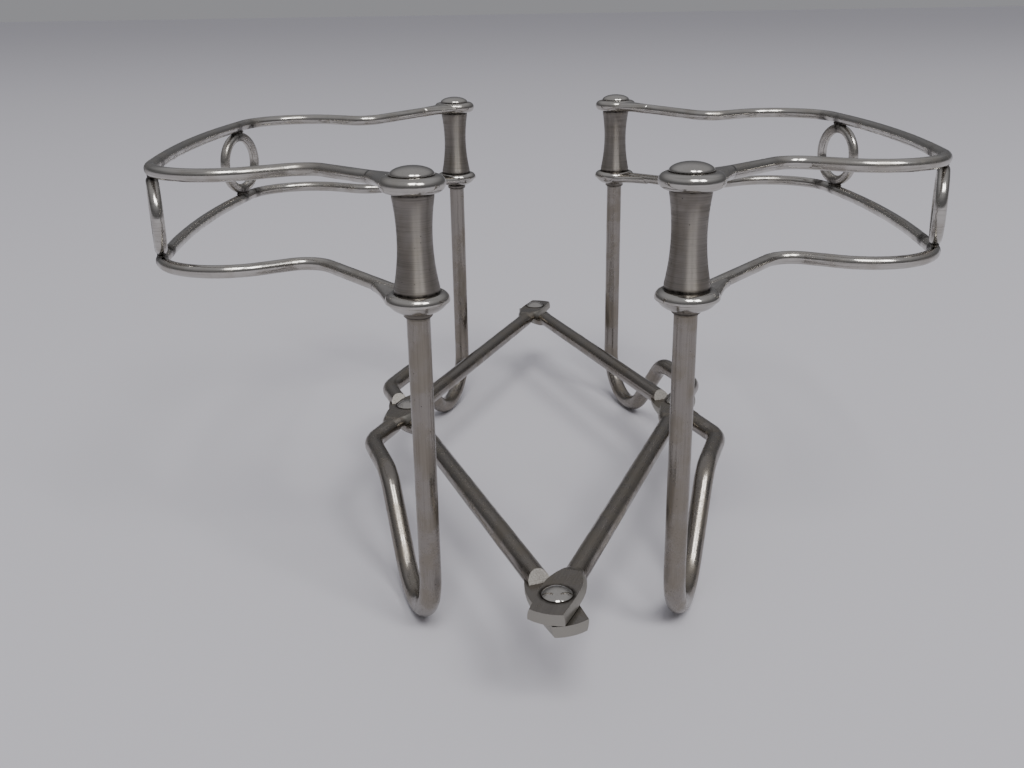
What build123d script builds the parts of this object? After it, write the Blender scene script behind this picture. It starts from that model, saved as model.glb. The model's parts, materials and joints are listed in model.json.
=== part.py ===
from build123d import *
import os
from math import asin, atan2, copysign, cos, degrees, hypot, radians, sin, sqrt, tan

# An expanding toast rack in round plated wire, in millimetres, +Z up.
# Four bent wires make a scissor lattice. Each wire is, in one length, a post, a
# hairpin foot, a crank and a lattice link, and four domed rivets join them. Two
# double-wire bows turn by their eyes on the turned-down tops of the posts.
# Origin: on the table, under the middle of the lattice. +X is right, +Y is back.

# --- wire sizes ---
leg_wire = 4.0  # diameter of the posts, feet and links
bow_wire = 2.45  # diameter of the four bow wires
ring_wire = 2.3  # diameter of the four upright rings
spigot = 3.0  # diameter of the turned-down top of each post

# --- lattice, seen from above, folded as the rack stands ---
pivot_half_width = 32.1  # the middle, left or right rivet to the centre
pivot_half_depth = 86.0  # the middle, front or back rivet to the centre
lattice_height = 20.0  # wire centre of the links above the table
post_x = 22.3
post_y = 65.1

# --- crank and foot ---
elbow_reach = 18.5  # side rivet to the elbow, straight on from the link
elbow_bend = 8.0
dip_run = 33.5  # post to the point where the crank leaves the lattice level
dip_bend = 8.0
foot_bend = 12.0  # wire centre radius of the hairpin that stands on the table

# --- flattened eyes of the wires and their rivets ---
plate_half_width = 3.5
tip_half_width = 3.1
plate_proud = 0.05  # a hammered plate's back above the round wire's back
plate_edge = 0.16  # share of a plate's thickness that each rounded edge takes across
root_angles = (28, 55, 90)  # degrees round the wire where the narrowed plate's arcs pass
plate_length = 3.4  # rivet to where the plate begins to narrow
neck_length = 6.4
neck_sections = ((0.25, 0.25), (0.5, 0.35), (0.75, 0.5))  # share of the length, edge share
tip_reach = 6.2  # rivet to the end of the plate
tip_curve = 8.0
step_reach = 7.4  # rivet to the foot of the step where the full wire begins
step_rake = 1.5  # how far the step leans over half the wire
lap_gap = 0.1
rivet_shank = 2.6
rivet_head = 5.3
rivet_head_height = 1.1
rivet_tail = 4.8
rivet_tail_height = 0.8

# --- post fittings ---
lower_eye_height = 65.7  # middle of the lower eyes above the table
eye_spacing = 19.2
eye_diameter = 10.9
eye_thickness = 2.7
bowl_depth = 0.75  # how much deeper the lower eyes are, for their bowl-shaped undersides
bowl_foot = 5.0  # diameter of a bowl's flat bottom
bowl_bulge = 0.25  # out and down, a bowl's middle from a straight cone
eye_lip = 0.4  # radius of a lower eye's edge below its widest point
barrel_top = 7.0
barrel_waist = 5.9
barrel_foot = 7.7
barrel_band = 0.7  # height of the plain band at each end of a barrel
waist_share = 0.56  # how far up a barrel its waist is
cap_diameter = 7.4
cap_rim = 0.25
cap_dome = 1.2
cap_socket = 0.5
shoulder_wall = 0.45
shoulder_height = 0.7
shoulder_bevel = 0.2

# --- bows, seen from above ---
kink_x = 43.4
kink_y = 40.2
kink_bend = 6.0
corner_x = 71.4  # where the two runs of the rounded corner would meet
corner_y = 56.4
corner_bend = 14.0
side_x = 77.8  # where the two halves of the outer side would meet
side_bend = 250.0
wire_gap = 17.4  # upper to lower wire, centre to centre, from the kinks outwards
front_ring_reach = 38.0  # a bow's middle to its front ring
back_ring_reach = 31.0
ring_turn = 20.0  # degrees between a ring's plane and the front-to-back line

# --- fits ---
running = 0.05  # radial, a rivet or post in the eye that turns on it
seat = 0.08  # between flat faces that turn on each other
fixed = 0.02  # between pieces that are soldered together
bow_play = 0.73  # how much further apart a bow's two eyes are than its posts
play_clearance = 0.8  # radial, in the eye that takes up that play

leg_radius = leg_wire / 2
plate_back = leg_radius + plate_proud
upper_eye_height = lower_eye_height + eye_spacing
bowl_bottom = lower_eye_height - eye_thickness / 2 - bowl_depth
shoulder_top = bowl_bottom - seat
barrel_bottom = lower_eye_height + eye_thickness / 2 + seat
barrel_height = eye_spacing - eye_thickness - 2 * seat
cap_bottom = upper_eye_height + eye_thickness / 2 + seat
middle_height = (lower_eye_height + upper_eye_height) / 2
ring_outer = wire_gap - bow_wire - 2 * fixed

POSTS = {
    "front_left": (-1, -1),
    "back_left": (-1, 1),
    "front_right": (1, -1),
    "back_right": (1, 1),
}
RIVETS = {
    "left": (-pivot_half_width, 0),
    "right": (pivot_half_width, 0),
    "front": (0, -pivot_half_depth),
    "back": (0, pivot_half_depth),
}


def round_wire(path, diameter):
    """A round wire along a path."""
    start = Plane(origin=path @ 0, z_dir=path % 0)
    return sweep(start * Circle(diameter / 2), path=path)


def turned(profile_edges):
    """A solid of revolution about Z from a closed profile drawn in X and Z."""
    return revolve(make_face(Plane.XZ * Curve(profile_edges)), axis=Axis.Z)


def dome_outline(radius, height, base):
    """A dome's profile from its rim to its top, a height below zero making it hang."""
    sphere = (radius**2 + height**2) / (2 * height)
    reach = radius / 2
    rise = height - sphere + copysign(sqrt(sphere**2 - reach**2), height)
    return ThreePointArc((radius, base), (reach, base + rise), (0, base + height))


# --- the legs, built as the back right one and turned or mirrored to the others ---


def foot_corner_height(slope):
    """Height where the post line meets the foot's rising run, below the table."""
    turn = 90 + slope
    return leg_radius + foot_bend - foot_bend * tan(radians(turn / 2))


def foot_slope():
    """Degrees by which the run from the foot up to the dip bend rises."""
    across = dip_run - foot_bend
    up = lattice_height - leg_radius - foot_bend
    return degrees(atan2(up, across) + asin(foot_bend / hypot(across, up)))


def leg_points():
    """Corners of the back right leg's wire, from its post to its far rivet."""
    near = Vector(pivot_half_width, 0, lattice_height)
    far = Vector(0, -pivot_half_depth, lattice_height)
    along = (near - far).normalized()
    elbow = near + along * elbow_reach
    post = Vector(post_x, post_y, lattice_height)
    dip = post + (elbow - post).normalized() * dip_run
    top = Vector(post_x, post_y, shoulder_top)
    foot = Vector(post_x, post_y, foot_corner_height(foot_slope()))
    end = far + along * (plate_length + neck_length / 3)
    return [top, foot, dip, elbow, end]


def eye_plane(pivot, along, distance, side):
    """The plane across the link at a distance from a rivet, its Y away from the lap."""
    up = Vector(0, 0, side)
    origin = pivot + along * distance
    return Plane(origin=origin, x_dir=up.cross(along), z_dir=along)


def plate_section(half_width, edge):
    """Section of the hammered half of the wire, with rounded edges."""
    base = lap_gap / 2
    rise = plate_back - base
    flat = half_width - edge * rise
    bulge = (half_width - edge * rise / 4, base + rise * 2 / 3)
    return make_face(
        Curve(
            [
                Line((-half_width, base), (half_width, base)),
                ThreePointArc((half_width, base), bulge, (flat, plate_back)),
                Line((flat, plate_back), (-flat, plate_back)),
                ThreePointArc((-flat, plate_back), (-bulge[0], bulge[1]), (-half_width, base)),
            ]
        )
    )


def root_section():
    """Section of the plate where it has narrowed to half the round wire."""
    r = leg_radius - plate_proud
    base = lap_gap / 2
    low = [(r * cos(radians(a)), r * sin(radians(a))) for a in root_angles]
    right = ThreePointArc((r, base), low[0], low[1])
    top = ThreePointArc(low[1], low[2], (-low[1][0], low[1][1]))
    left = ThreePointArc((-low[1][0], low[1][1]), (-low[0][0], low[0][1]), (-r, base))
    return make_face(Curve([Line((-r, base), (r, base)), right, top, left]))


def plate(pivot, along, side):
    """The plate on one side of a rivet: a parallel stretch, then a neck down to the wire."""
    end = plate_length + neck_length
    wide = plate_section(plate_half_width, plate_edge)
    sections = [
        eye_plane(pivot, along, 0, side) * wide,
        eye_plane(pivot, along, plate_length, side) * wide,
    ]
    for share, edge in neck_sections:
        half_width = leg_radius + (plate_half_width - leg_radius) * cos(radians(90 * share))
        across = eye_plane(pivot, along, plate_length + share * neck_length, side)
        sections.append(across * plate_section(half_width, edge))
    sections.append(eye_plane(pivot, along, end, side) * root_section())
    return loft(sections, ruled=True)


def tip(pivot, along, side):
    """The end of a plate beyond its rivet, trimmed to a gentle curve."""
    wide = plate_section(plate_half_width, plate_edge)
    narrow = plate_section(tip_half_width, plate_edge)
    ends = [
        eye_plane(pivot, along, 0, side) * wide,
        eye_plane(pivot, along, -tip_reach, side) * narrow,
    ]
    blank = loft(ends, ruled=True)
    centre = pivot + along * (tip_curve - tip_reach)
    return blank & Pos(*centre) * Cylinder(tip_curve, 4 * leg_wire)


def lap_cut(pivot, along, side):
    """The half of the wire removed at a rivet, with a raked step at each end."""
    base = side * lap_gap / 2
    deep = leg_wire
    lean = step_rake * (deep + lap_gap / 2) / leg_radius
    near = [(step_reach, base), (step_reach + lean, -side * deep)]
    outline = [*near, *((-x, y) for x, y in reversed(near))]
    across = Plane(origin=pivot, x_dir=along, z_dir=along.cross(Vector(0, 0, 1)))
    face = make_face(across * Polyline(*outline, close=True))
    return extrude(face, amount=leg_wire, both=True)


def leg(side):
    """The back right leg: side is 1 where its eyes lie on top, -1 underneath."""
    path = FilletPolyline(*leg_points(), radius=[foot_bend, dip_bend, elbow_bend])
    near = Vector(pivot_half_width, 0, lattice_height)
    far = Vector(0, -pivot_half_depth, lattice_height)
    along = (near - far).normalized()
    body = round_wire(path, leg_wire)
    for pivot in (near, far):
        body -= lap_cut(pivot, along, side)
    for pivot, way in ((near, along), (near, -along), (far, along)):
        body += plate(pivot, way, side)
    body += tip(far, along, side)
    for pivot in (near, far):
        body -= Pos(*pivot) * Cylinder(rivet_shank / 2 + running, 3 * leg_wire)
    length = cap_bottom + cap_socket - 2 * fixed - shoulder_top + leg_radius
    middle = shoulder_top - leg_radius + length / 2
    body += Pos(post_x, post_y, middle) * Cylinder(spigot / 2, length)
    return body


def placed_leg(signs):
    """A leg for one corner. Front left and back right have their eyes on top."""
    if signs == (1, 1):
        return leg(1)
    if signs == (-1, -1):
        return Rot(0, 0, 180) * leg(1)
    if signs == (-1, 1):
        return mirror(leg(-1), about=Plane.YZ)
    return mirror(leg(-1), about=Plane.XZ)


def rivet():
    """A domed rivet, its Z zero at the middle of the lap."""
    head = plate_back + fixed
    tail = -plate_back - running
    shank = rivet_shank / 2
    top = dome_outline(rivet_head / 2, rivet_head_height, head)
    low = dome_outline(rivet_tail / 2, -rivet_tail_height, tail)
    return turned(
        [
            Line(low @ 1, top @ 1),
            top,
            Line(top @ 0, (shank, head)),
            Line((shank, head), (shank, tail)),
            Line((shank, tail), low @ 0),
            low,
        ]
    )


# --- fittings on the posts ---


def shoulder():
    """The little ring soldered round a post under its lower eye."""
    inner = leg_radius + fixed
    outer = leg_radius + shoulder_wall
    low = shoulder_top - shoulder_height
    return turned(
        Polyline(
            (inner, low),
            (outer - shoulder_bevel, low),
            (outer, low + shoulder_bevel),
            (outer, shoulder_top),
            (inner, shoulder_top),
            close=True,
        ).edges()
    )


def barrel():
    """The waisted barrel between a post's two eyes."""
    bore = spigot / 2 + fixed
    top = barrel_bottom + barrel_height
    foot = (barrel_foot / 2, barrel_bottom + barrel_band)
    waist = (barrel_waist / 2, barrel_bottom + waist_share * barrel_height)
    head = (barrel_top / 2, top - barrel_band)
    return turned(
        [
            Line((bore, barrel_bottom), (foot[0], barrel_bottom)),
            Line((foot[0], barrel_bottom), foot),
            ThreePointArc(foot, waist, head),
            Line(head, (head[0], top)),
            Line((head[0], top), (bore, top)),
            Line((bore, top), (bore, barrel_bottom)),
        ]
    )


def cap():
    """The domed cap, with a socket for the end of the spigot."""
    radius = cap_diameter / 2
    socket = spigot / 2 + fixed
    dome = dome_outline(radius, cap_dome, cap_bottom + cap_rim)
    return turned(
        [
            Line((0, cap_bottom + cap_socket), (socket, cap_bottom + cap_socket)),
            Line((socket, cap_bottom + cap_socket), (socket, cap_bottom)),
            Line((socket, cap_bottom), (radius, cap_bottom)),
            Line((radius, cap_bottom), dome @ 0),
            dome,
            Line(dome @ 1, (0, cap_bottom + cap_socket)),
        ]
    )


# --- the bows, built as the right one; half a turn about Z makes the left one ---


def bow_middle():
    """The bow's own middle in Y: its back eye is on its post, its front eye is not."""
    return -bow_play / 2


def eye_place(end):
    """Where an eye of the right bow is, with end 1 at the back and -1 at the front."""
    return (post_x, bow_middle() + end * (post_y + bow_play / 2))


def bow_path(eye_height, wire_height):
    """Centre line of one wire of the right bow, from its back eye to its front eye."""
    middle = bow_middle()
    half = [
        (*eye_place(1), eye_height),
        (kink_x, middle + kink_y, wire_height),
        (corner_x, middle + corner_y, wire_height),
    ]
    other = [(x, 2 * middle - y, z) for x, y, z in reversed(half)]
    bends = [kink_bend, corner_bend, side_bend, corner_bend, kink_bend]
    return FilletPolyline(*half, (side_x, middle, wire_height), *other, radius=bends)


def bow(eye_height, wire_height):
    """One wire of the right bow, its ends hollowed to sit against its eyes."""
    body = round_wire(bow_path(eye_height, wire_height), bow_wire)
    for end in (1, -1):
        x, y = eye_place(end)
        body -= Pos(x, y, eye_height) * Cylinder(eye_diameter / 2 + fixed, eye_spacing / 2)
    return body


def round_edge(outer, radius, way):
    """A quarter circle out to a disc's rim, from above where way is 1, below where -1."""
    half_way = radius * sin(radians(45))
    inner = outer - radius
    middle = (inner + half_way, way * half_way)
    return ThreePointArc((inner, way * radius), middle, (outer, 0))


def bowl_outline():
    """A lower eye's underside, from its widest point in to its flat bottom."""
    lip = round_edge(eye_diameter / 2, eye_lip, -1)
    edge = lip @ 0
    foot = Vector(bowl_foot / 2, bowl_bottom - lower_eye_height)
    middle = (edge + foot) / 2 + Vector(bowl_bulge, -bowl_bulge)
    return [lip, ThreePointArc(edge, middle, foot)]


def eye(end, height, bowled):
    """A turned eye of the right bow. The back eye turns, the front eye has play."""
    bore = spigot / 2 + (running if end == 1 else play_clearance)
    half = eye_thickness / 2
    top = round_edge(eye_diameter / 2, half, 1)
    under = bowl_outline() if bowled else [round_edge(eye_diameter / 2, half, -1)]
    foot = under[-1] @ (1 if bowled else 0)
    bored = [Line(foot, (bore, foot.Y)), Line((bore, foot.Y), (bore, half))]
    x, y = eye_place(end)
    return Pos(x, y, height) * turned([top, *under, *bored, Line((bore, half), top @ 0)])


def place_on_side(reach):
    """The point of a bow's outer side that lies so far back from its middle."""
    path = bow_path(middle_height, middle_height)
    low, high = 0.25, 0.5  # shares of the path: before the corner bend and the middle
    for _ in range(30):
        share = (low + high) / 2
        if (path @ share).Y - bow_middle() > reach:
            low = share
        else:
            high = share
    return path @ share


def ring(end, reach):
    """An upright ring of the right bow, soldered between its two wires."""
    origin = (place_on_side(reach).X, bow_middle() + end * reach, middle_height)
    out = (cos(radians(ring_turn)), end * sin(radians(ring_turn)), 0)
    facing = Plane(origin=origin, z_dir=out)
    return facing * Torus((ring_outer - ring_wire) / 2, ring_wire / 2)


def bow_pieces(side):
    """Name and solid of every piece of one bow, with side left or right."""
    turn = Rot(0, 0, 0) if side == "right" else Rot(0, 0, 180)
    reaches = {"front": front_ring_reach, "back": back_ring_reach}
    lower_wire = middle_height - wire_gap / 2
    upper_wire = middle_height + wire_gap / 2
    yield f"{side}_upper_bow", turn * bow(upper_eye_height, upper_wire)
    yield f"{side}_lower_bow", turn * bow(lower_eye_height, lower_wire)
    for name, reach in reaches.items():
        end = 1 if (name == "back") == (side == "right") else -1
        yield f"{name}_{side}_upper_eye", turn * eye(end, upper_eye_height, False)
        yield f"{name}_{side}_lower_eye", turn * eye(end, lower_eye_height, True)
        yield f"{name}_{side}_ring", turn * ring(end, reach)


def all_pieces():
    """Name and solid of every piece of the rack."""
    for corner, signs in POSTS.items():
        place = Pos(signs[0] * post_x, signs[1] * post_y, 0)
        yield f"{corner}_leg", placed_leg(signs)
        yield f"{corner}_shoulder", place * shoulder()
        yield f"{corner}_barrel", place * barrel()
        yield f"{corner}_cap", place * cap()
    for name, (x, y) in RIVETS.items():
        yield f"{name}_rivet", Pos(x, y, lattice_height) * rivet()
    for side in ("left", "right"):
        yield from bow_pieces(side)


os.makedirs("parts", exist_ok=True)
for node, solid in all_pieces():
    export_step(solid, f"parts/{node}.step")
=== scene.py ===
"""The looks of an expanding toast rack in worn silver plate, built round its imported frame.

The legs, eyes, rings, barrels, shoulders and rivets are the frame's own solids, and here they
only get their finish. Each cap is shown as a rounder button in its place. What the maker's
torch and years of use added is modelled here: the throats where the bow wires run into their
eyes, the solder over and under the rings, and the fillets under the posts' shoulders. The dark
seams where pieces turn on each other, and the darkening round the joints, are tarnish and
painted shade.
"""

import json
import logging
import math
from dataclasses import dataclass, replace
from enum import Enum

import bmesh
import bpy
from mathutils import Matrix, Vector

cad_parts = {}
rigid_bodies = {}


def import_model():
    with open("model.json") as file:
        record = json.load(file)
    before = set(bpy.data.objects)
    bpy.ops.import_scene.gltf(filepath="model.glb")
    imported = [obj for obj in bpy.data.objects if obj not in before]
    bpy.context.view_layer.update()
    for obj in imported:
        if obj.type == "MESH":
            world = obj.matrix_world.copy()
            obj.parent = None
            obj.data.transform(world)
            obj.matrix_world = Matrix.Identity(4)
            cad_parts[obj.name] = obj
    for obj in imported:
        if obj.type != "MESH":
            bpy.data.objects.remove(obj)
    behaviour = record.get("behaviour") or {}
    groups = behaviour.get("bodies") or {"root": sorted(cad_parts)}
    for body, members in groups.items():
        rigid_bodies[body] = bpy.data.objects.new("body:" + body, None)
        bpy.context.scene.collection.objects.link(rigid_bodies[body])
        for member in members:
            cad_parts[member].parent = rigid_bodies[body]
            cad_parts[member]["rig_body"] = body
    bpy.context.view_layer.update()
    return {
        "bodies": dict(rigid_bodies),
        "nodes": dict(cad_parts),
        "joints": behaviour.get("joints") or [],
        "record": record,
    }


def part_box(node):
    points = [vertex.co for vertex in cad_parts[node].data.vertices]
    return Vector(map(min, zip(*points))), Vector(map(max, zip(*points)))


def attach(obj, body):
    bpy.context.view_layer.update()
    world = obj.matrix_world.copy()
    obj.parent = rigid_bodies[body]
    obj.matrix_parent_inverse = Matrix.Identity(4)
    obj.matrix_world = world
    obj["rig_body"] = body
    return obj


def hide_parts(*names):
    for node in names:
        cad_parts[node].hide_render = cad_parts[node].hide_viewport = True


LOG = logging.getLogger("toast_rack")

Tree = bpy.types.NodeTree
Socket = bpy.types.NodeSocket
Material = bpy.types.Material
Mesh = bmesh.types.BMesh
Span = tuple[float, float]

MM = 0.001
WELD = 0.001 * MM  # corners closer than this are one corner
UP = (0.0, 0.0, 1.0)
LEVEL_PART = (1.0, 1.0, 0.0)  # a vector multiplied by this loses its height
EASED = {"interpolation_type": "SMOOTHSTEP"}

CORNERS = ("front_left", "back_left", "front_right", "back_right")
SIDES = ("left", "right")
ENDS = ("front", "back")
LEVELS = ("upper", "lower")
RIVETS = ("left_rivet", "right_rivet", "front_rivet", "back_rivet")


class Tint(Enum):
    """The colours of the rack and of the studio, as sRGB hex values."""

    SILVER = "#BDBAB5"
    SATIN_SILVER = "#928D87"
    SCRATCH = "#6B6762"
    FILED = "#9A9792"
    SAWN = "#A3A098"
    YELLOWED = "#857B69"
    # nearly black: tarnish and pits, and painted shade in seams and round joints
    TARNISH_AND_SHADE = "#241F1B"
    SOLDER = "#8B8780"
    TABLE = "#D9D7DD"
    ROOM = "#C6C6CA"


class Grain(Enum):
    """Which way fine scratches run, as how quickly they change along X, Y and Z."""

    UPRIGHT = (1.0, 1.0, 0.02)
    LEVEL = (0.03, 0.03, 1.0)
    TURNED = (0.02, 0.02, 1.9)
    LOOSE = (1.0, 1.0, 0.6)
    FILED = (1.2, 1.2, 1.6)


def linear(tint: Tint) -> tuple[float, float, float, float]:
    """Turn a tint's sRGB hex value to linear light.

    Args:
        tint: the colour to turn.

    Returns:
        Red, green and blue in linear light, and an alpha of 1.
    """
    steps = [int(tint.value[i : i + 2], 16) / 255 for i in (1, 3, 5)]
    light = [c / 12.92 if c <= 0.04045 else ((c + 0.055) / 1.055) ** 2.4 for c in steps]
    return (*light, 1.0)


def add_node(
    tree: Tree, kind: str, inputs: tuple | dict = (), **settings: object
) -> bpy.types.Node:
    """Add a node, set its properties, and fill or link its inputs.

    Args:
        tree: the tree that gets the node.
        kind: the node's type name.
        inputs: a value, or the output that feeds it, for each input: in order, or under the
            inputs' names or numbers.
        settings: the node's properties, by name.

    Returns:
        The new node.
    """
    node = tree.nodes.new(kind)
    for name, value in settings.items():
        setattr(node, name, value)
    named = inputs if isinstance(inputs, dict) else dict(enumerate(inputs))
    for key, value in named.items():
        if isinstance(value, Socket):
            tree.links.new(value, node.inputs[key])
        else:
            node.inputs[key].default_value = value
    return node


# --- where tarnish and painted shade lie ---


@dataclass(frozen=True)
class Mark:
    """Tarnish and painted shade along a level circle, such as a seam, or round one place if
    its radius is 0.

    Its centre is in the quarter of the rack where X and Y are above zero: a mark repeats
    in all four quarters, as the rack's own pieces do.
    """

    centre: Vector
    radius: float
    reach: float
    solid: float = 0.2  # the share of the reach that is fully dark

    def mask(self, tree: Tree, place: Socket) -> Socket:
        """Draw the mark.

        Args:
            tree: the material's nodes.
            place: the point on the object, folded into the mark's quarter.

        Returns:
            1 on the circle, falling to 0 at the reach.
        """
        off = add_node(
            tree, "ShaderNodeVectorMath", (place, self.centre), operation="SUBTRACT"
        ).outputs[0]
        flat = add_node(tree, "ShaderNodeVectorMath", (off, LEVEL_PART), operation="MULTIPLY")
        height = add_node(tree, "ShaderNodeVectorMath", (off, UP), operation="DOT_PRODUCT")
        out = add_node(tree, "ShaderNodeVectorMath", (flat.outputs[0],), operation="LENGTH")
        beyond = add_node(
            tree, "ShaderNodeMath", (out.outputs["Value"], self.radius), operation="SUBTRACT"
        )
        both = add_node(
            tree, "ShaderNodeCombineXYZ", (beyond.outputs[0], height.outputs["Value"])
        )
        gap = add_node(tree, "ShaderNodeVectorMath", (both.outputs[0],), operation="LENGTH")
        fade = (gap.outputs["Value"], self.solid * self.reach, self.reach, 1.0, 0.0)
        return add_node(tree, "ShaderNodeMapRange", fade, **EASED).outputs[0]


# --- finishes ---


@dataclass(frozen=True)
class SilverPlate:
    """Silver plate over nickel brass, worn by use and by polishing.

    Clean silver is a pale, faintly warm grey mirror. Handling covers it with fine scratches
    that blur what it mirrors, a thin film of sulphide yellows it in patches, and pits in the
    metal under it show as dark specks. Where pieces meet it is painted nearly black, for the
    tarnish there and as painted shade.
    """

    name: str
    polish: float  # its roughness where it is brightest
    dulling: float  # how much rougher its dull patches are
    film: float  # how strong its yellow patches are
    scratch_depth: float
    grain: Grain
    clean: Tint = Tint.SILVER
    pitting: float = 0.0
    scoring: float = 0.45  # how dark the scratches are
    turned: bool = False
    scratch_width: float = 0.22 * MM  # real ones are finer, and would not show
    scratch_detail: float = 3.0
    scratch_edge: Span = (0.3, 0.55)  # the heights between which a scratch goes dark
    blur_edge: Span = (0.3, 0.7)  # the heights between which it blurs the mirror
    blur: Span = (1.25, 0.8)  # its roughness in a scratch and beside it, as shares
    patch_width: float = 6.0 * MM
    patch_detail: float = 4.0
    patch_ragged: float = 0.62
    patch_edge: Span = (0.38, 0.66)
    crumb_width: float = 0.7 * MM
    crumb_least: float = 0.6  # what is left of a mark where its tarnish and painted shade are thinnest
    pit_spacing: float = 1.1 * MM
    pit_choice: Span = (0.55, 0.6)  # a place for a pit has one if its lot is above this
    pit_edge: Span = (0.05, 0.11)  # as shares of the spacing
    # roughness where the pits, tarnish and painted shade lie
    dirt_and_shade_roughness: float = 0.6
    smear: float = 0.9  # how far tool marks draw out a highlight
    smear_turn: float = 0.25  # a quarter turn, which draws it upwards

    def scratches(self, tree: Tree, place: Socket) -> Socket:
        """Draw the fine scratches, from 0 in a scratch to 1 between them."""
        return self.lines(tree, place, self.grain)

    def lines(self, tree: Tree, place: Socket, grain: Grain) -> Socket:
        """Draw lines that change quickly in some directions and slowly in others.

        Args:
            tree: the material's nodes.
            place: the point on the object.
            grain: which way the lines run.

        Returns:
            The height of the surface, from 0 to 1.
        """
        squeezed = add_node(
            tree, "ShaderNodeVectorMath", (place, grain.value), operation="MULTIPLY"
        )
        return self.noise(tree, squeezed.outputs[0])

    def noise(self, tree: Tree, place: Socket) -> Socket:
        """Draw fine noise, a scratch wide where its place isn't squeezed.

        Args:
            tree: the material's nodes.
            place: the point on the object, squeezed along the scratches.

        Returns:
            The height of the surface, from 0 to 1.
        """
        inputs = {
            "Vector": place,
            "Scale": 1 / self.scratch_width,
            "Detail": self.scratch_detail,
        }
        return add_node(tree, "ShaderNodeTexNoise", inputs).outputs[0]

    def patches(self, tree: Tree, place: Socket, width: float) -> Socket:
        """Draw soft uneven patches.

        Args:
            tree: the material's nodes.
            place: the point on the object.
            width: how wide a patch is, in metres.

        Returns:
            How far each point is into a patch, from 0 to 1.
        """
        inputs = {
            "Vector": place,
            "Scale": 1 / width,
            "Detail": self.patch_detail,
            "Roughness": self.patch_ragged,
        }
        cloud = add_node(tree, "ShaderNodeTexNoise", inputs)
        edge = (cloud.outputs[0], *self.patch_edge, 0.0, 1.0)
        return add_node(tree, "ShaderNodeMapRange", edge, **EASED).outputs[0]

    def pits(self, tree: Tree, place: Socket) -> Socket:
        """Scatter small dark pits.

        Args:
            tree: the material's nodes.
            place: the point on the object.

        Returns:
            0 beside a pit, and the pitting's strength in one.
        """
        inputs = {"Vector": place, "Scale": 1 / self.pit_spacing, "Randomness": 1.0}
        cells = add_node(tree, "ShaderNodeTexVoronoi", inputs)
        lots = add_node(tree, "ShaderNodeSeparateColor", (cells.outputs["Color"],))
        chosen = (lots.outputs[0], *self.pit_choice, 0.0, 1.0)
        spot = (cells.outputs["Distance"], *self.pit_edge, 1.0, 0.0)
        shares = [
            add_node(tree, "ShaderNodeMapRange", span, **EASED).outputs[0]
            for span in (chosen, spot)
        ]
        both = add_node(tree, "ShaderNodeMath", tuple(shares), operation="MULTIPLY")
        faint = (both.outputs[0], self.pitting)
        return add_node(tree, "ShaderNodeMath", faint, operation="MULTIPLY").outputs[0]

    def dirt_and_shade(self, tree: Tree, place: Socket, marks: list[Mark]) -> Socket:
        """Gather the pits and the marks, and break up the marks' edges.

        Args:
            tree: the material's nodes.
            place: the point on the object.
            marks: where this piece is painted dark, for tarnish and as painted shade.

        Returns:
            How black each point is, from 0 to 1.
        """
        pits = self.pits(tree, place)
        if not marks:
            return pits
        quarter = add_node(tree, "ShaderNodeVectorMath", (place,), operation="ABSOLUTE")
        total, *others = [mark.mask(tree, quarter.outputs[0]) for mark in marks]
        for mask in others:
            either = add_node(tree, "ShaderNodeMath", (total, mask), operation="MAXIMUM")
            total = either.outputs[0]
        crumbs = self.patches(tree, place, self.crumb_width)
        left = (crumbs, 0.0, 1.0, self.crumb_least, 1.0)
        ragged = add_node(tree, "ShaderNodeMapRange", left, **EASED).outputs[0]
        broken = add_node(tree, "ShaderNodeMath", (total, ragged), operation="MULTIPLY")
        either = add_node(
            tree, "ShaderNodeMath", (broken.outputs[0], pits), operation="MAXIMUM"
        )
        return either.outputs[0]

    def material(self, marks: list[Mark]) -> Material:
        """Build the finish.

        Args:
            marks: where the pieces that wear this finish are painted dark, for tarnish and as
                painted shade.

        Returns:
            The material.
        """
        made = bpy.data.materials.new(self.name)
        made.use_nodes = True
        tree = made.node_tree
        tree.nodes.clear()
        place = add_node(tree, "ShaderNodeTexCoord").outputs["Object"]
        lines = self.scratches(tree, place)
        patch = self.patches(tree, place, self.patch_width)
        dirt_and_shade = self.dirt_and_shade(tree, place, marks)
        colour = self.colour(tree, patch, lines, dirt_and_shade)
        rough = self.roughness(tree, patch, lines, dirt_and_shade)
        colour, rough = self.cut_faces(tree, place, colour, rough)
        height = {"Strength": 1.0, "Distance": self.scratch_depth, "Height": lines}
        inputs = {
            "Base Color": colour,
            "Metallic": 1.0,
            "Roughness": rough,
            "Normal": add_node(tree, "ShaderNodeBump", height).outputs[0],
        }
        if self.turned:
            inputs["Anisotropic"] = self.smear
            inputs["Anisotropic Rotation"] = self.smear_turn
            inputs["Tangent"] = add_node(
                tree, "ShaderNodeTangent", direction_type="RADIAL", axis="Z"
            ).outputs[0]
        shader = add_node(tree, "ShaderNodeBsdfPrincipled", inputs)
        add_node(tree, "ShaderNodeOutputMaterial", (shader.outputs[0],))
        return made

    def cut_faces(
        self, tree: Tree, place: Socket, colour: Socket, rough: Socket
    ) -> tuple[Socket, Socket]:
        """Leave the colour and the roughness as they are: most pieces have no cut faces."""
        return colour, rough

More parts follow.
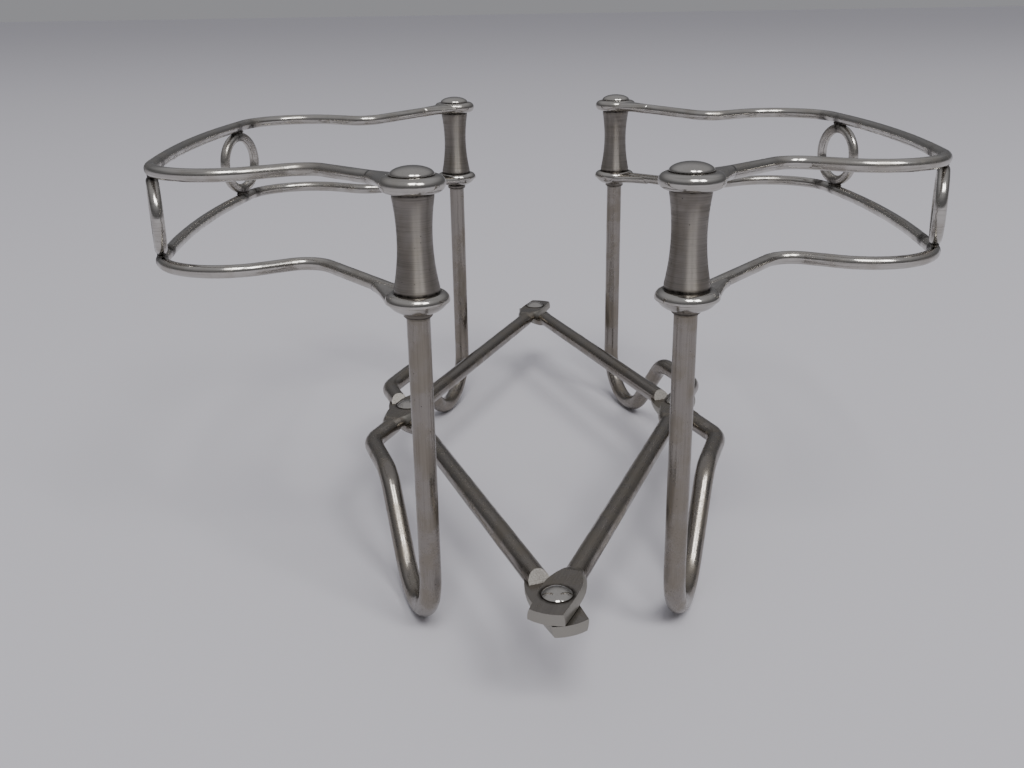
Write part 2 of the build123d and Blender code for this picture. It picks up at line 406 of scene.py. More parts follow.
    def colour(self, tree: Tree, patch: Socket, lines: Socket, dirt_and_shade: Socket) -> Socket:
        """Darken scratches, yellow the film's patches, and blacken the pits and the marks'
        tarnish and painted shade.

        Args:
            tree: the material's nodes.
            patch: how far each point is into a patch of film.
            lines: the height of the scratched surface.
            dirt_and_shade: how black each point is, from pits, tarnish and painted shade.

        Returns:
            The colour of the metal.
        """
        depth = add_node(
            tree,
            "ShaderNodeMapRange",
            (lines, *self.scratch_edge, 1.0 - self.scoring, 1.0),
            **EASED,
        )
        film = add_node(tree, "ShaderNodeMath", (patch, self.film), operation="MULTIPLY")
        colour = linear(Tint.SCRATCH)
        for share, tint in (
            (depth.outputs[0], self.clean),
            (film.outputs[0], Tint.YELLOWED),
            # the pits, and the marks' tarnish and painted shade, are nearly black
            (dirt_and_shade, Tint.TARNISH_AND_SHADE),
        ):
            layers = {0: share, 6: colour, 7: linear(tint)}
            colour = add_node(tree, "ShaderNodeMix", layers, data_type="RGBA").outputs[2]
        return colour

    def roughness(self, tree: Tree, patch: Socket, lines: Socket, dirt_and_shade: Socket) -> Socket:
        """Blur the mirror in patches and in scratches, and most on the pits and the marks'
        tarnish and painted shade.

        Args:
            tree: the material's nodes.
            patch: how far each point is into a dull patch.
            lines: the height of the scratched surface.
            dirt_and_shade: how black each point is, from pits, tarnish and painted shade.

        Returns:
            The roughness of the metal.
        """
        spans = (
            (patch, 0.0, 1.0, self.polish, self.polish + self.dulling),
            (lines, *self.blur_edge, *self.blur),
        )
        shares = [
            add_node(tree, "ShaderNodeMapRange", span, **EASED).outputs[0] for span in spans
        ]
        rough = add_node(tree, "ShaderNodeMath", tuple(shares), operation="MULTIPLY")
        layers = {0: dirt_and_shade, 2: rough.outputs[0], 3: self.dirt_and_shade_roughness}
        return add_node(tree, "ShaderNodeMix", layers, data_type="FLOAT").outputs[0]


@dataclass(frozen=True)
class LegWire(SilverPlate):
    """Drawn wire worn satin, bright where a file cut its laps and pale where it was sawn.

    The draw plate and years of wiping leave scratches along the wire, so a post shines in
    soft upright streaks, a link in level ones. A lap's step still has the file's gleam, and
    the sawn edges of the hammered plates are a flat pale grey.
    """

    side_pivot: Vector = Vector((0.0, 0.0, 0.0))
    end_pivot: Vector = Vector((0.0, 0.0, 0.0))
    lean: float = 1.0  # 1 where the link runs from front left to back right, -1 where not
    crank_run: Vector = Vector((-0.32, 0.95, 0.0))  # from the elbow towards the post
    elbow: Vector = Vector((31.0, 16.5, 0.0)) * MM  # the crank lies beyond both of these
    elbow_fade: float = 1.0 * MM
    half_way_fade: float = 1.0 * MM  # where a link's nearest rivet changes
    link_reach: float = 3.0 * MM  # how far the link goes above and below the side rivets
    link_fade: float = 2.0 * MM
    lengthwise: float = 0.03  # how slowly scratches change along a level wire
    inward: Span = (-0.5, -0.3)  # surfaces below this face the rivet
    outward: Span = (0.3, 0.5)  # and those above this face away from it
    step_start: Span = (5.0 * MM, 5.5 * MM)  # the filed step lies between these distances
    step_end: Span = (10.5 * MM, 11.5 * MM)
    edge_end: Span = (7.3 * MM, 8.1 * MM)  # the sawn edge is nearer than this
    gleam: Span = (0.3, 0.65)  # the heights between which a file mark shines
    filed_roughness: float = 0.55
    sawn_roughness: float = 0.48

    def scratches(self, tree: Tree, place: Socket) -> Socket:
        """Draw the scratches along each stretch of the wire.

        Args:
            tree: the material's nodes.
            place: the point on the object.

        Returns:
            The height of the surface, from 0 in a scratch to 1 between them.
        """
        run = Vector((self.side_pivot.x, self.lean * self.end_pivot.y, 0.0)).normalized()
        quarter = add_node(tree, "ShaderNodeVectorMath", (place,), operation="ABSOLUTE")
        x, y, z = add_node(tree, "ShaderNodeSeparateXYZ", (quarter.outputs[0],)).outputs
        post = self.lines(tree, place, Grain.UPRIGHT)
        link = self.across(tree, place, run)
        crank = self.across(tree, quarter.outputs[0], self.crank_run)
        top = self.side_pivot.z + self.link_reach
        foot = self.side_pivot.z - self.link_reach
        spans = (
            (x, self.elbow.x, self.elbow.x + self.elbow_fade, 0.0, 1.0),
            (y, self.elbow.y, self.elbow.y + self.elbow_fade, 0.0, 1.0),
            (z, top, top + self.link_fade, 0.0, 1.0),
            (z, foot - self.link_fade, foot, 1.0, 0.0),
        )
        out, past, up, down = (
            add_node(tree, "ShaderNodeMapRange", span, **EASED).outputs[0] for span in spans
        )
        beyond = add_node(tree, "ShaderNodeMath", (out, past), operation="MULTIPLY")
        upright = add_node(tree, "ShaderNodeMath", (up, down), operation="MAXIMUM")
        lines = link
        for share, other in ((beyond, crank), (upright, post)):
            layers = {0: share.outputs[0], 2: lines, 3: other}
            lines = add_node(tree, "ShaderNodeMix", layers, data_type="FLOAT").outputs[0]
        return lines

    def across(self, tree: Tree, place: Socket, run: Vector) -> Socket:
        """Draw lines along a level wire, changing across it and with height.

        Args:
            tree: the material's nodes.
            place: the point on the object.
            run: the wire's direction.

        Returns:
            The height of the surface, from 0 to 1.
        """
        spot = []
        for way in (Vector((run.y, -run.x, 0.0)), self.lengthwise * run, Vector(UP)):
            share = add_node(
                tree, "ShaderNodeVectorMath", (place, way), operation="DOT_PRODUCT"
            )
            spot.append(share.outputs["Value"])
        joined = add_node(tree, "ShaderNodeCombineXYZ", tuple(spot))
        return self.noise(tree, joined.outputs[0])

    def cut_faces(
        self, tree: Tree, place: Socket, colour: Socket, rough: Socket
    ) -> tuple[Socket, Socket]:
        """Brighten the filed steps, which face the rivet, and pale the edges, which face away.

        Args:
            tree: the material's nodes.
            place: the point on the object.
            colour: the wire's colour.
            rough: the wire's roughness.

        Returns:
            The colour and the roughness, with the cut faces laid over them.
        """
        facing, reach = self.towards_rivet(tree, place)
        file_marks = self.lines(tree, place, Grain.FILED)
        spans = (
            (facing, *self.inward, 1.0, 0.0),
            (reach, *self.step_start, 0.0, 1.0),
            (reach, *self.step_end, 1.0, 0.0),
            (facing, *self.outward, 0.0, 1.0),
            (reach, *self.edge_end, 1.0, 0.0),
            (file_marks, *self.gleam, 0.0, 1.0),
        )
        step, started, unended, edge, close, gleam = (
            add_node(tree, "ShaderNodeMapRange", span, **EASED).outputs[0] for span in spans
        )
        for limit in (started, unended):
            both = add_node(tree, "ShaderNodeMath", (step, limit), operation="MULTIPLY")
            step = both.outputs[0]
        edge = add_node(tree, "ShaderNodeMath", (edge, close), operation="MULTIPLY").outputs[0]
        layers = {0: gleam, 6: linear(Tint.SCRATCH), 7: linear(Tint.FILED)}
        filed = add_node(tree, "ShaderNodeMix", layers, data_type="RGBA").outputs[2]
        for share, tint, dull in (
            (step, filed, self.filed_roughness),
            (edge, linear(Tint.SAWN), self.sawn_roughness),
        ):
            layers = {0: share, 6: colour, 7: tint}
            colour = add_node(tree, "ShaderNodeMix", layers, data_type="RGBA").outputs[2]
            layers = {0: share, 2: rough, 3: dull}
            rough = add_node(tree, "ShaderNodeMix", layers, data_type="FLOAT").outputs[0]
        return colour, rough

    def towards_rivet(self, tree: Tree, place: Socket) -> tuple[Socket, Socket]:
        """Find how a point's surface faces its nearest rivet, and how far that rivet is.

        Args:
            tree: the material's nodes.
            place: the point on the object.

        Returns:
            -1 where the surface faces the rivet to 1 where it faces away, and the distance.
        """
        normal = add_node(tree, "ShaderNodeTexCoord").outputs["Normal"]
        side = add_node(tree, "ShaderNodeVectorMath", (place,), operation="SIGN")
        quarter = add_node(tree, "ShaderNodeVectorMath", (place,), operation="ABSOLUTE")
        parts = add_node(tree, "ShaderNodeSeparateXYZ", (quarter.outputs[0],))
        half_way = self.end_pivot.y / 2
        ends = (parts.outputs[1], half_way, half_way + self.half_way_fade, 0.0, 1.0)
        at_end = add_node(tree, "ShaderNodeMapRange", ends, **EASED).outputs[0]
        pivots = {0: at_end, 4: self.side_pivot, 5: self.end_pivot}
        near = add_node(tree, "ShaderNodeMix", pivots, data_type="VECTOR").outputs[1]
        rivet = add_node(
            tree, "ShaderNodeVectorMath", (side.outputs[0], near), operation="MULTIPLY"
        )
        off = add_node(
            tree, "ShaderNodeVectorMath", (place, rivet.outputs[0]), operation="SUBTRACT"
        )
        level = add_node(
            tree, "ShaderNodeVectorMath", (off.outputs[0], LEVEL_PART), operation="MULTIPLY"
        ).outputs[0]
        reach = add_node(tree, "ShaderNodeVectorMath", (level,), operation="LENGTH")
        way = add_node(tree, "ShaderNodeVectorMath", (level,), operation="NORMALIZE")
        facing = add_node(
            tree, "ShaderNodeVectorMath", (way.outputs[0], normal), operation="DOT_PRODUCT"
        )
        return facing.outputs["Value"], reach.outputs["Value"]


# --- the rack's own finishes ---

# Nickel brass wire, drawn, plated and wiped for years. The plate is thin and warm grey, and
# shines in soft streaks along the wire.
DRAWN_WIRE = LegWire(
    name="drawn_wire_worn_satin",
    polish=0.21,
    dulling=0.14,
    film=0.4,
    scratch_depth=0.0055 * MM,
    grain=Grain.UPRIGHT,
    scoring=0.28,
    clean=Tint.SATIN_SILVER,
    pitting=0.7,
)

# Nickel brass tube turned on a lathe and plated. The tool's fine rings draw a highlight out
# to a soft upright band, and leave the rest a matt grey.
TURNED_FITTING = SilverPlate(
    name="turned_fitting_brushed",
    polish=0.41,
    dulling=0.08,
    film=0.25,
    scratch_depth=0.004 * MM,
    grain=Grain.TURNED,
    clean=Tint.SATIN_SILVER,
    pitting=0.8,
    scoring=0.32,
    turned=True,
)

# A pressed dome that every hand has rubbed: a bright clear mirror with faint wipe marks.
RUBBED_CAP = SilverPlate(
    name="cap_rubbed_bright",
    polish=0.08,
    dulling=0.07,
    film=0.12,
    scratch_depth=0.0015 * MM,
    grain=Grain.LOOSE,
    scoring=0.12,
)

# A rivet head hammered to a dome and rubbed by the same hands, as bright as the caps.
RUBBED_RIVET = replace(RUBBED_CAP, name="rivet_rubbed_bright")

# Thinner wire polished all round before it was bent. It keeps a sharp bright line along its
# top, broken by level scratches from wiping.
BOW_WIRE = SilverPlate(
    name="bow_wire_polished",
    polish=0.14,
    dulling=0.15,
    film=0.3,
    scratch_depth=0.0035 * MM,
    grain=Grain.LEVEL,
    pitting=0.3,
    scoring=0.35,
)

# The flat top and round belly of an eye, polished with the bow. It mirrors the room clearly,
# and is painted black only where it turns on its neighbours, for tarnish and as painted shade.
POLISHED_EYE = SilverPlate(
    name="eye_polished",
    polish=0.12,
    dulling=0.1,
    film=0.25,
    scratch_depth=0.003 * MM,
    grain=Grain.LEVEL,
    pitting=0.2,
    scoring=0.2,
)

# Silver sulphide and old polish packed in a seam, and painted shade there too: nearly black,
# and too rough to mirror.
SEAM_TARNISH_AND_SHADE = SilverPlate(
    name="seam_tarnish_and_shade",
    polish=0.55,
    dulling=0.15,
    film=0.2,
    scratch_depth=0.01 * MM,
    grain=Grain.LOOSE,
    clean=Tint.TARNISH_AND_SHADE,
)

# Silver solder left as it flowed. It is greyer than the plate, and its skin is dull.
DULL_SOLDER = SilverPlate(
    name="solder_dull",
    polish=0.34,
    dulling=0.15,
    film=0.5,
    scratch_depth=0.012 * MM,
    grain=Grain.LOOSE,
    clean=Tint.SOLDER,
)


# --- meshes ---


def centre_of(node: str) -> Vector:
    """Give the middle of a node's box."""
    low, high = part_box(node)
    return (low + high) / 2


def heading_of(node: bpy.types.Object) -> float:
    """Find the level direction in which a node's mesh spreads most.

    Args:
        node: the frame's object.

    Returns:
        The angle from +X, in radians.
    """
    points = [vertex.co for vertex in node.data.vertices]
    middle = sum(points, Vector()) / len(points)
    off = [point - middle for point in points]
    along_x = sum(o.x * o.x for o in off)
    along_y = sum(o.y * o.y for o in off)
    shared = sum(o.x * o.y for o in off)
    return 0.5 * math.atan2(2 * shared, along_x - along_y)


def finished(name: str, bm: Mesh, material: Material) -> bpy.types.Object:
    """Turn a bmesh to an object with smooth shading and one material.

    Args:
        name: the piece's name.
        bm: the mesh, which is freed.
        material: what the piece wears.

    Returns:
        The object, at the origin.
    """
    bmesh.ops.remove_doubles(bm, verts=bm.verts, dist=WELD)
    bmesh.ops.recalc_face_normals(bm, faces=bm.faces)
    mesh = bpy.data.meshes.new(name)
    bm.to_mesh(mesh)
    bm.free()
    mesh.shade_smooth()
    mesh.materials.append(material)
    piece = bpy.data.objects.new(name, mesh)
    bpy.context.scene.collection.objects.link(piece)
    return piece


def spun(bm: Mesh, profile: list[Span], axis: Vector, steps: int = 56) -> None:
    """Spin a closed profile a full turn about an upright axis.

    Args:
        bm: the mesh that gets the result.
        profile: radius and height of each corner of the profile.
        axis: a point on the axis, whose height is not used.
        steps: how many segments the turn has.
    """
    corners = [bm.verts.new((axis.x + out, axis.y, up)) for out, up in profile]
    edges = [bm.edges.new((a, b)) for a, b in zip(corners, corners[1:] + corners[:1])]
    bmesh.ops.spin(
        bm,
        geom=[*corners, *edges],
        cent=(axis.x, axis.y, 0.0),
        axis=UP,
        angle=math.tau,
        steps=steps,
        use_merge=True,
    )


def bead(middle: Span, radius: float, sides: int = 8) -> list[Span]:
    """Give the profile of a thin round ring.

    Args:
        middle: the ring's radius and height.
        radius: half the ring's own thickness.
        sides: how many corners its section has.

    Returns:
        Radius and height of each corner.
    """
    turns = [math.tau * i / sides for i in range(sides)]
    return [
        (middle[0] + radius * math.cos(turn), middle[1] + radius * math.sin(turn))
        for turn in turns
    ]


# --- sub-assemblies ---


@dataclass
class Rack:
    """What every sub-assembly needs: the frame, and a way to dress and place pieces."""

    frame: dict

    def points(self, node: str) -> list[Vector]:
        """List the corners of a node's mesh."""
        return [vertex.co for vertex in self.frame["nodes"][node].data.vertices]

    def radii(self, node: str, points: list[Vector]) -> list[float]:
        """Measure how far points lie from a node's upright axis."""
        axis = centre_of(node)
        return [math.hypot(point.x - axis.x, point.y - axis.y) for point in points]

    def dress(self, node: str, material: Material) -> None:
        """Give one of the frame's nodes a finish.

        Args:
            node: the node's name.
            material: what it wears.
        """
        for slot in self.frame["nodes"][node].material_slots:
            slot.material = material
        LOG.info("dressed %s", node)

    def place(self, piece: bpy.types.Object, beside: str, slot: str) -> None:
        """Let a piece ride with a node's body.

        Args:
            piece: the new piece.
            beside: the node whose body carries it.
            slot: not used.
        """
        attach(piece, self.frame["nodes"][beside]["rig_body"])
        LOG.info("made %s", piece.name)


@dataclass
class Lattice(Rack):
    """The four bent legs, the rivets that join them, and the tarnish and painted shade round
    the rivets.
    """

    seam_radius: float = 0.11 * MM
    # how far the painted shade and tarnish round a rivet's foot reaches
    halo_reach: float = 0.9 * MM
    rim_share: float = 0.99  # corners this far out are on a rivet's rim

    def finish_legs(self, posts: list[Mark]) -> None:
        """Dress the legs: satin, scratched along the wire, with tarnish and painted shade
        round the rivets.

        Args:
            posts: the tarnish and painted shade where the legs meet their shoulders.
        """
        marks = list(posts)
        # a halo of painted shade and tarnish round each rivet's foot
        for rivet in ("right_rivet", "back_rivet"):
            radius, plate_top = self.rim(rivet)
            middle = centre_of(rivet)
            foot = Vector((middle.x, middle.y, plate_top))
            marks.append(Mark(foot, radius, self.halo_reach, solid=0.0))
        side, end = centre_of("right_rivet"), centre_of("back_rivet")
        crossings = {1.0: ("front_left", "back_right"), -1.0: ("front_right", "back_left")}
        for lean, corners in crossings.items():
            finish = replace(
                DRAWN_WIRE,
                side_pivot=Vector((side.x, 0.0, side.z)),
                end_pivot=Vector((0.0, end.y, end.z)),
                lean=lean,
            )
            material = finish.material(marks)
            for corner in corners:
                self.dress(f"{corner}_leg", material)

    def finish_rivets(self) -> None:
        """Dress the rivets, whose domes every hand has polished."""
        material = RUBBED_RIVET.material([])
        for rivet in RIVETS:
            self.dress(rivet, material)

    def make_seams(self, dirt_and_shade: Material) -> None:
        """Lay the thin dark line between each rivet's head and the plate under it: tarnish and
        painted shade.

        Args:
            dirt_and_shade: what the lines wear, tarnish and painted shade.
        """
        for rivet in RIVETS:
            bm = bmesh.new()
            spun(bm, bead(self.rim(rivet), self.seam_radius), centre_of(rivet))
            self.place(finished(f"{rivet}_seam", bm, dirt_and_shade), rivet, "rivet")

    def rim(self, rivet: str) -> Span:
        """Measure a rivet's head where it is widest.

        Args:
            rivet: the rivet's name.

        Returns:
            The rim's radius and its height, where the head meets the plate.
        """
        low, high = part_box(rivet)
        points = self.points(rivet)
        radii = self.radii(rivet, points)
        widest = max(radii)
        rim = [p.z for p, out in zip(points, radii) if out > self.rim_share * widest]
        head_height = max(p.z for p in points) - max(rim)
        return (high.x - low.x) / 2, high.z - head_height


@dataclass
class PostFittings(Rack):
    """The shoulder, barrel and cap of each post, with their fillets and seams."""

    seam_radius: float = 0.13 * MM
    seam_reach: float = 0.5 * MM
    edge_band: float = 0.02 * MM  # corners this near an edge's height are on it
    fillet_height: float = 0.35 * MM
    fillet_bite: float = 0.1 * MM  # how far it goes into the shoulder and the post
    fillet_steps: int = 5
    button_segments: tuple[int, int] = (64, 48)

    def seams(self) -> list[Mark]:
        """List the circles where the posts' pieces meet, from the shoulder to the cap, round
        which tarnish and painted shade are laid.

        Returns:
            A mark for each circle.
        """
        axis = centre_of("back_right_barrel")
        edges = (("shoulder", False), ("barrel", False), ("barrel", True), ("cap", False))
        marks = []
        for kind, top in edges:
            radius, height = self.edge(f"back_right_{kind}", top)
            marks.append(Mark(Vector((axis.x, axis.y, height)), radius, self.seam_reach))
        return marks

    def finish(self) -> None:
        """Dress the shoulders and barrels, and make a bright button for each cap."""
        # the seams' tarnish and painted shade darken the shoulders and barrels
        turned = TURNED_FITTING.material(self.seams())
        for corner in CORNERS:
            for kind in ("shoulder", "barrel"):
                self.dress(f"{corner}_{kind}", turned)
        self.make_buttons(RUBBED_CAP.material([]))

    def make_buttons(self, material: Material) -> None:
        """Round each cap to a button, steep at its rim and shallow on top.

        Args:
            material: what the buttons wear.
        """
        around, up = self.button_segments
        for corner in CORNERS:
            low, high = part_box(f"{corner}_cap")
            bm = bmesh.new()
            bmesh.ops.create_uvsphere(bm, u_segments=around, v_segments=up, radius=1.0)
            bmesh.ops.bisect_plane(
                bm,
                geom=[*bm.verts, *bm.edges, *bm.faces],
                plane_co=(0.0, 0.0, 0.0),
                plane_no=UP,
                clear_inner=True,
            )
            rim = [edge for edge in bm.edges if edge.is_boundary]
            bmesh.ops.edgeloop_fill(bm, edges=rim)
            size = ((high.x - low.x) / 2, (high.y - low.y) / 2, high.z - low.z)
            bmesh.ops.scale(bm, verts=bm.verts, vec=size)
            foot = Vector(((low.x + high.x) / 2, (low.y + high.y) / 2, low.z))
            bmesh.ops.translate(bm, verts=bm.verts, vec=foot)
            button = finished(f"{corner}_button", bm, material)
            self.place(button, f"{corner}_cap", "turned_fitting")
            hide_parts(f"{corner}_cap")

    def make_seams(self, dirt_and_shade: Material) -> None:
        """Lay the dark seam at each end of a barrel and under each cap: tarnish and painted
        shade.

        Args:
            dirt_and_shade: what the seams wear, tarnish and painted shade.
        """
        for corner in CORNERS:
            axis = centre_of(f"{corner}_barrel")
            bm = bmesh.new()
            for kind, top in (("barrel", False), ("barrel", True), ("cap", False)):
                radius, height = self.edge(f"{corner}_{kind}", top)
                spun(bm, bead((radius - self.seam_radius, height), self.seam_radius), axis)
            piece = finished(f"{corner}_seams", bm, dirt_and_shade)
            self.place(piece, f"{corner}_barrel", "turned_fitting")

    def edge(self, node: str, top: bool) -> Span:
        """Measure a fitting's lowest or highest edge.

        Args:
            node: the fitting's name.
            top: whether the highest edge is wanted.

        Returns:
            The edge's radius and height.
        """
        low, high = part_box(node)
        level = high.z if top else low.z
        at_edge = [p for p in self.points(node) if abs(p.z - level) < self.edge_band]
        return max(self.radii(node, at_edge)), level

    def make_fillets(self, solder: Material) -> None:
        """Run a fillet of solder round each post under its shoulder.

        Args:
            solder: what the fillets wear.
        """
        for corner in CORNERS:
            shoulder = f"{corner}_shoulder"
            outer, level = self.edge(shoulder, False)
            inner = min(self.radii(shoulder, self.points(shoulder)))
            post = inner - self.fillet_bite
            profile = [(post, level + self.fillet_bite), (outer, level + self.fillet_bite)]
            for i in range(self.fillet_steps + 1):
                turn = math.pi / 2 * i / self.fillet_steps
                out = outer - (outer - inner) * math.sin(turn)
                down = self.fillet_height * (1 - math.cos(turn))
                profile.append((out, level - down))
            profile.append((post, level - self.fillet_height))
            bm = bmesh.new()
            spun(bm, profile, centre_of(shoulder))
            piece = finished(f"{corner}_fillet", bm, solder)
            self.place(piece, shoulder, "turned_fitting")


@dataclass
class Bow(Rack):
    """One bow: its two wires, four eyes and two rings, and the solder that joins them."""

    side: str = "right"
    level_stretch: float = 12.0 * MM  # this far in from its outermost point a wire is level
    heading_start: float = 25.0 * MM  # past here a wire's way out from its eye is measured
    heading_slice: float = 1.0 * MM
    throat_start: float = 12.5 * MM  # from the eye's middle, where the wire begins to widen
    throat_end: float = 3.0 * MM  # inside the eye, and clear of the pin
    throat_root: float = 4.45 * MM  # half the throat's width at the eye
    throat_lap: float = 1.004  # its thin end's radius, as a share of the wire's
    throat_flare: float = 1.3  # 1 widens evenly, and more widens late
    throat_rise: float = 1.32 * MM  # how far its root goes above the eye's middle
    throat_drop: Span = (1.32 * MM, 1.45 * MM)  # and below, upper and lower
    throat_steps: int = 12
    throat_sides: int = 32
    solder_length: float = 2.5 * MM
    solder_width: float = 0.85 * MM
    solder_height: float = 0.5 * MM
    # how far the tarnish and painted shade round a ring's contact reach
    spot_reach: float = 3.2 * MM
    spot_solid: float = 0.35

    def wire_radius(self) -> float:
        """Measure half the wire's thickness, where it runs level.

        Returns:
            The radius, in metres.
        """
        wire = f"{self.side}_upper_bow"
        outermost = max(abs(corner.x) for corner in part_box(wire))
        inner = outermost - self.level_stretch
        heights = [point.z for point in self.points(wire) if abs(point.x) > inner]
        return (max(heights) - min(heights)) / 2

    def run_in(self, level: str, eye: Vector) -> Vector:
        """Find the direction in which a wire leaves its eye.

        Args:
            level: upper or lower.
            eye: the eye's middle.

        Returns:
            A unit vector from the eye along the wire.
        """
        off = [point - eye for point in self.points(f"{self.side}_{level}_bow")]
        nearest = min(o.length for o in off if o.length > self.heading_start)
        ring = [o for o in off if abs(o.length - nearest) < self.heading_slice]
        return (sum(ring, Vector()) / len(ring)).normalized()

    def make_throats(self, material: Material) -> None:
        """Widen each wire where it runs into its eye, as the brazed joint does.

        Args:
            material: what the throats wear.
        """
        radius = self.wire_radius()
        for end in ENDS:
            for level, drop in zip(LEVELS, self.throat_drop):
                eye_name = f"{end}_{self.side}_{level}_eye"
                eye = centre_of(eye_name)
                along = self.run_in(level, eye)
                bm = bmesh.new()
                self.loft_throat(bm, radius, drop)
                across = Vector(UP).cross(along).normalized()
                turn = Matrix((along, across, along.cross(across))).transposed().to_4x4()
                place = Matrix.Translation(eye) @ turn
                bmesh.ops.transform(bm, matrix=place, verts=bm.verts)
                piece = finished(f"{end}_{self.side}_{level}_throat", bm, material)
                self.place(piece, eye_name, "bow_wire")

    def loft_throat(self, bm: Mesh, radius: float, drop: float) -> None:
        """Draw a throat along +X out to its thin end, from a root inside the eye.

        Args:
            bm: the mesh that gets the throat.
            radius: the wire's radius.
            drop: how far the root goes below the eye's middle.
        """
        start = self.throat_lap * radius
        made = bmesh.ops.create_circle(
            bm, cap_ends=True, radius=start, segments=self.throat_sides
        )
        quarter = Matrix.Rotation(math.pi / 2, 3, "Y")
        bmesh.ops.rotate(bm, verts=made["verts"], cent=(0, 0, 0), matrix=quarter)
        bmesh.ops.translate(bm, verts=made["verts"], vec=(self.throat_start, 0, 0))
        edges = list(bm.edges)
        step = (self.throat_start - self.throat_end) / self.throat_steps
        wide, tall, middle = start, start, 0.0
        for i in range(1, self.throat_steps + 1):
            swell = (i / self.throat_steps) ** self.throat_flare
            rise, fall, next_wide = (
                start + (full - start) * swell
                for full in (self.throat_rise, drop, self.throat_root)
            )
            next_tall = (rise + fall) / 2
            next_middle = (rise - fall) / 2
            grown = bmesh.ops.extrude_edge_only(bm, edges=edges)["geom"]
            corners = [part for part in grown if isinstance(part, bmesh.types.BMVert)]
            edges = [
                part
                for part in grown
                if isinstance(part, bmesh.types.BMEdge) and part.is_boundary
            ]
            bmesh.ops.translate(bm, verts=corners, vec=(-step, 0.0, -middle))
            growth = (1.0, next_wide / wide, next_tall / tall)
            bmesh.ops.scale(bm, verts=corners, vec=growth)
            bmesh.ops.translate(bm, verts=corners, vec=(0.0, 0.0, next_middle))
            wide, tall, middle = next_wide, next_tall, next_middle
        bmesh.ops.edgeloop_fill(bm, edges=edges)

    def make_solder(self, material: Material) -> None:
        """Set a bead of solder over and under each ring.

        Args:
            material: what the beads wear.
        """
        size = (self.solder_length, self.solder_width, self.solder_height)
        for end in ENDS:
            name = f"{end}_{self.side}_ring"
            low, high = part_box(name)
            middle = centre_of(name)
            turn = Matrix.Rotation(heading_of(self.frame["nodes"][name]), 3, "Z")
            bm = bmesh.new()
            for height in (high.z, low.z):
                made = bmesh.ops.create_icosphere(bm, subdivisions=4, radius=1.0)
                bmesh.ops.scale(bm, verts=made["verts"], vec=size)
                bmesh.ops.rotate(bm, verts=made["verts"], cent=(0, 0, 0), matrix=turn)
                place = Vector((middle.x, middle.y, height))
                bmesh.ops.translate(bm, verts=made["verts"], vec=place)
            piece = finished(f"{end}_{self.side}_ring_solder", bm, material)
            self.place(piece, name, "bow_wire")

    def tarnish_and_shade_spots(self) -> list[Mark]:
        """List where the rings' upper and lower contacts are darkened with tarnish and painted
        shade.

        Returns:
            A mark for each contact.
        """
        spots = []
        for end in ENDS:
            low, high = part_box(f"{end}_right_ring")
            middle = (low + high) / 2
            for height in (high.z, low.z):
                spot = Vector((middle.x, abs(middle.y), height))
                spots.append(Mark(spot, 0.0, self.spot_reach, solid=self.spot_solid))
        return spots

    def finish(self, wire: Material, eye: Material) -> None:
        """Dress the bow's wires, rings and eyes.

        Args:
            wire: what the wires and the rings wear.
            eye: what the eyes wear.
        """
        for level in LEVELS:
            self.dress(f"{self.side}_{level}_bow", wire)
        for end in ENDS:
            self.dress(f"{end}_{self.side}_ring", wire)
            for level in LEVELS:
                self.dress(f"{end}_{self.side}_{level}_eye", eye)


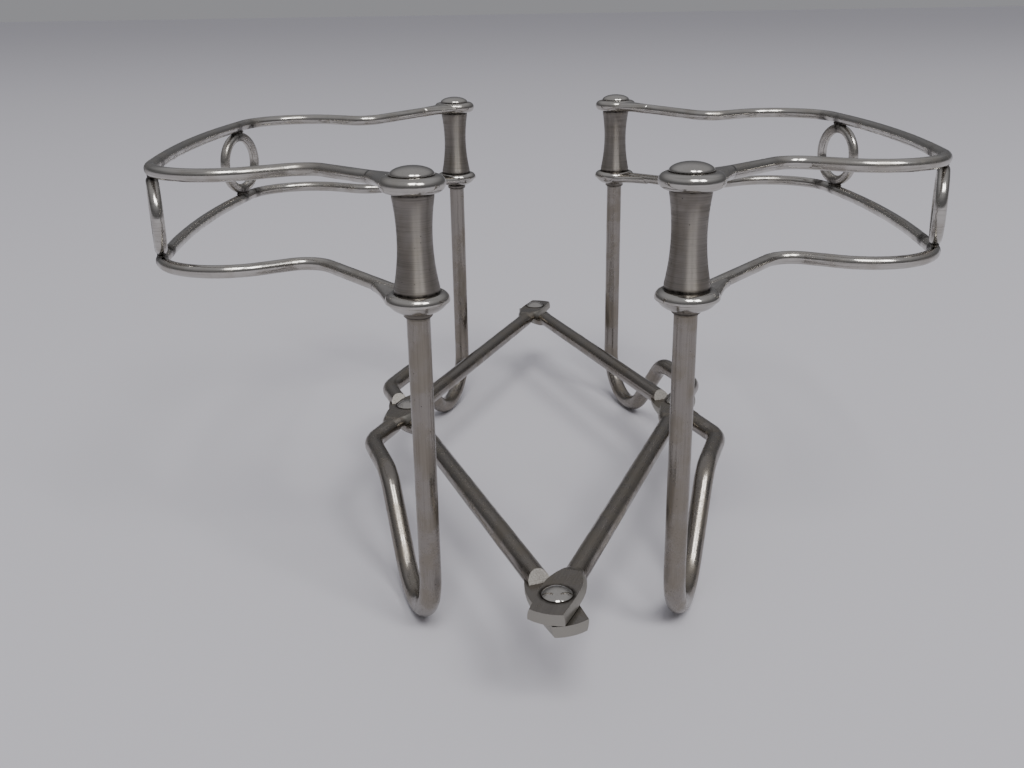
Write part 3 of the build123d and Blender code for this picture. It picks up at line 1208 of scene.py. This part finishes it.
@dataclass
class Studio:
    """The table, the soft lights and the camera."""

    camera_place: tuple[float, float, float] = (-6.0 * MM, -233.6 * MM, 111.7 * MM)
    camera_dip: float = math.radians(19.93)
    camera_turn: float = math.radians(-0.29)
    camera_roll: float = math.radians(-0.90)
    lens: float = 36.9
    nearest: float = 0.01  # the camera sees nothing closer than this
    table_size: float = 24.0
    table_roughness: float = 0.75
    table_shine: float = 0.2
    panes: tuple[tuple[str, float], ...] = (("left_pane", 0.1), ("right_pane", 1.2))
    pane_back: float = -1.5
    pane_height: float = 2.3
    pane_size: Span = (0.8, 1.0)
    pane_power: float = 27.0
    aim: tuple[float, float, float] = (0.0, 0.0, 0.04)
    room_strength: float = 0.8
    room_climb: Span = (0.15, 0.8)  # how steeply up the room begins and ends to brighten
    room_least: float = 0.32  # its light low down, as a share of that overhead
    skirt_climb: Span = (0.02, 0.07)
    skirt_strength: float = 0.62  # at the horizon, so that the table runs on into the room

    def make_camera(self) -> None:
        """Stand the camera just above the front of the rack, looking a little down."""
        dip, turn, roll = self.camera_dip, self.camera_turn, self.camera_roll
        ahead = Vector(
            (math.sin(turn) * math.cos(dip), math.cos(turn) * math.cos(dip), -math.sin(dip))
        )
        level = Vector((math.cos(turn), -math.sin(turn), 0.0))
        above = level.cross(ahead)
        right = level * math.cos(roll) + above * math.sin(roll)
        up = above * math.cos(roll) - level * math.sin(roll)
        data = bpy.data.cameras.new("camera")
        data.lens = self.lens
        data.clip_start = self.nearest
        camera = bpy.data.objects.new("camera", data)
        turned = Matrix((right, up, -ahead)).transposed().to_4x4()
        camera.matrix_world = Matrix.Translation(self.camera_place) @ turned
        bpy.context.scene.collection.objects.link(camera)
        bpy.context.scene.camera = camera

    def make_table(self) -> None:
        """Lay the pale table top: painted board, matt enough to show only soft shadows."""
        made = bpy.data.materials.new("table_top")
        made.use_nodes = True
        shader = made.node_tree.nodes["Principled BSDF"]
        shader.inputs["Base Color"].default_value = linear(Tint.TABLE)
        shader.inputs["Roughness"].default_value = self.table_roughness
        shader.inputs["Specular IOR Level"].default_value = self.table_shine
        bm = bmesh.new()
        bmesh.ops.create_grid(bm, x_segments=1, y_segments=1, size=self.table_size / 2)
        mesh = bpy.data.meshes.new("table")
        bm.to_mesh(mesh)
        bm.free()
        mesh.materials.append(made)
        table = bpy.data.objects.new("table", mesh)
        bpy.context.scene.collection.objects.link(table)

    def make_pane(self, name: str, x: float) -> None:
        """Hang a window pane that faces the rack.

        Args:
            name: the pane's name.
            x: how far to the right it hangs, in metres.
        """
        data = bpy.data.lights.new(name, "AREA")
        data.shape = "RECTANGLE"
        data.size, data.size_y = self.pane_size
        data.energy = self.pane_power
        light = bpy.data.objects.new(name, data)
        place = Vector((x, self.pane_back, self.pane_height))
        toward = Vector(self.aim) - place
        turned = toward.to_track_quat("-Z", "Y").to_matrix().to_4x4()
        light.matrix_world = Matrix.Translation(place) @ turned
        bpy.context.scene.collection.objects.link(light)

    def make_world(self) -> None:
        """Light the room evenly, dimmer low down than overhead, and pale at the horizon."""
        world = bpy.data.worlds.new("room")
        world.use_nodes = True
        bpy.context.scene.world = world
        tree = world.node_tree
        tree.nodes.clear()
        spot = add_node(tree, "ShaderNodeTexCoord").outputs["Generated"]
        height = add_node(
            tree, "ShaderNodeVectorMath", (spot, UP), operation="DOT_PRODUCT"
        ).outputs["Value"]
        spans = (
            (height, *self.room_climb, self.room_least, 1.0),
            (height, *self.skirt_climb, self.skirt_strength, 0.0),
        )
        levels = [
            add_node(tree, "ShaderNodeMapRange", span, **EASED).outputs[0] for span in spans
        ]
        either = add_node(tree, "ShaderNodeMath", tuple(levels), operation="MAXIMUM")
        glow = (either.outputs[0], self.room_strength)
        strength = add_node(tree, "ShaderNodeMath", glow, operation="MULTIPLY").outputs[0]
        inputs = {"Color": linear(Tint.ROOM), "Strength": strength}
        back = add_node(tree, "ShaderNodeBackground", inputs)
        add_node(tree, "ShaderNodeOutputWorld", (back.outputs[0],))

    def build(self) -> None:
        """Set up the whole studio."""
        self.make_camera()
        self.make_table()
        self.make_world()
        for name, x in self.panes:
            self.make_pane(name, x)


def main() -> None:
    """Build the rack's looks in order, and report each piece."""
    logging.basicConfig(level=logging.INFO)
    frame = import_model()
    Studio().build()

    # tarnish and painted shade for the seams
    dirt_and_shade = SEAM_TARNISH_AND_SHADE.material([])
    posts = PostFittings(frame)
    posts.finish()
    posts.make_seams(dirt_and_shade)
    posts.make_fillets(DULL_SOLDER.material([]))

    lattice = Lattice(frame)
    # the legs darken under the shoulders and round the rivets with tarnish and painted shade
    lattice.finish_legs(posts.seams()[:1])
    lattice.finish_rivets()
    lattice.make_seams(dirt_and_shade)

    bows = [Bow(frame, side=side) for side in SIDES]
    # the rings' contacts darken the wires and the solder with tarnish and painted shade
    spots = bows[1].tarnish_and_shade_spots()
    wire = BOW_WIRE.material(spots)
    # the eyes darken at the posts' seams with tarnish and painted shade
    eye = POLISHED_EYE.material(posts.seams())
    solder = DULL_SOLDER.material(spots)
    for bow in bows:
        bow.finish(wire, eye)
        bow.make_throats(wire)
        bow.make_solder(solder)


if __name__ == "__main__":
    main()
